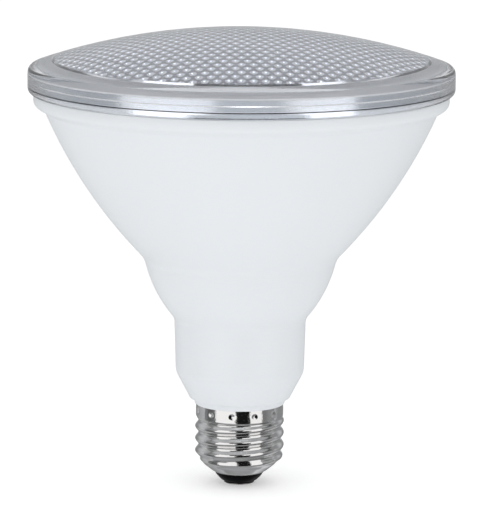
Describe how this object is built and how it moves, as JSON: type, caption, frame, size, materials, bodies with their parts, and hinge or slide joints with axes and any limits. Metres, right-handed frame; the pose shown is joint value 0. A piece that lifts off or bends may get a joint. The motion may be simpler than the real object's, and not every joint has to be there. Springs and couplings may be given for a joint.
{
  "type": "par spotlight bulb",
  "caption": "Reflector spotlight lamp with a beaded clear lens, a flared white housing, a light engine with its driver inside and a medium screw base.",
  "frame": {"origin": "bottom of the centre contact, on the lamp's axis", "axes": "+Z along the lamp's axis from the screw base to the lens, which shines along +Z"},
  "size_m": [0.123, 0.123, 0.1333],
  "materials": {
    "clear_plastic": "clear, beaded on the inside",
    "white_plastic": "satin, moulded",
    "silicone": "matt",
    "sink_aluminium": "pressed, satin",
    "reflector_metal": "vacuum-metallised plastic",
    "pad_silicone": "matt",
    "white_mask": "white solder mask on an aluminium board",
    "steel_screw": "zinc plated",
    "phosphor": "yellow phosphor in a white package",
    "red_insulation": "silicone insulation",
    "black_insulation": "silicone insulation",
    "white_insulation": "silicone insulation",
    "green_laminate": "solder mask on laminate",
    "ferrite": "fired, matt",
    "winding": "wire under yellow tape",
    "capacitor_sleeve": "shrunk sleeve",
    "film_case": "moulded case",
    "black_epoxy": "moulded epoxy",
    "fuse_body": "coated",
    "shell_nickel": "nickel-plated, rolled",
    "insulator_black": "black, gloss",
    "contact_nickel": "plated"
  },
  "bodies": {
    "root": {"lens": "clear_plastic", "lens_seal": "silicone", "housing": "white_plastic", "heat_sink": "sink_aluminium", "reflector": "reflector_metal", "thermal_pad": "pad_silicone", "light_board": "white_mask", "board_screws": "steel_screw", "led_wire_positive": "red_insulation", "led_wire_negative": "black_insulation", "driver_board": "green_laminate", "transformer_core": "ferrite", "transformer_winding": "winding", "bulk_capacitor": "capacitor_sleeve", "output_capacitor": "capacitor_sleeve", "film_capacitor": "film_case", "input_choke": "ferrite", "bridge_rectifier": "black_epoxy", "control_chip": "black_epoxy", "fuse_resistor": "fuse_body", "output_diode": "black_epoxy", "line_wire": "black_insulation", "neutral_wire": "white_insulation", "screw_shell": "shell_nickel", "base_insulator": "insulator_black", "centre_contact": "contact_nickel", "led_1": "phosphor", "led_2": "phosphor", "led_3": "phosphor", "led_4": "phosphor", "led_5": "phosphor", "led_6": "phosphor", "led_7": "phosphor", "led_8": "phosphor", "led_9": "phosphor", "led_10": "phosphor", "led_11": "phosphor", "led_12": "phosphor"}
  },
  "joints": []
}
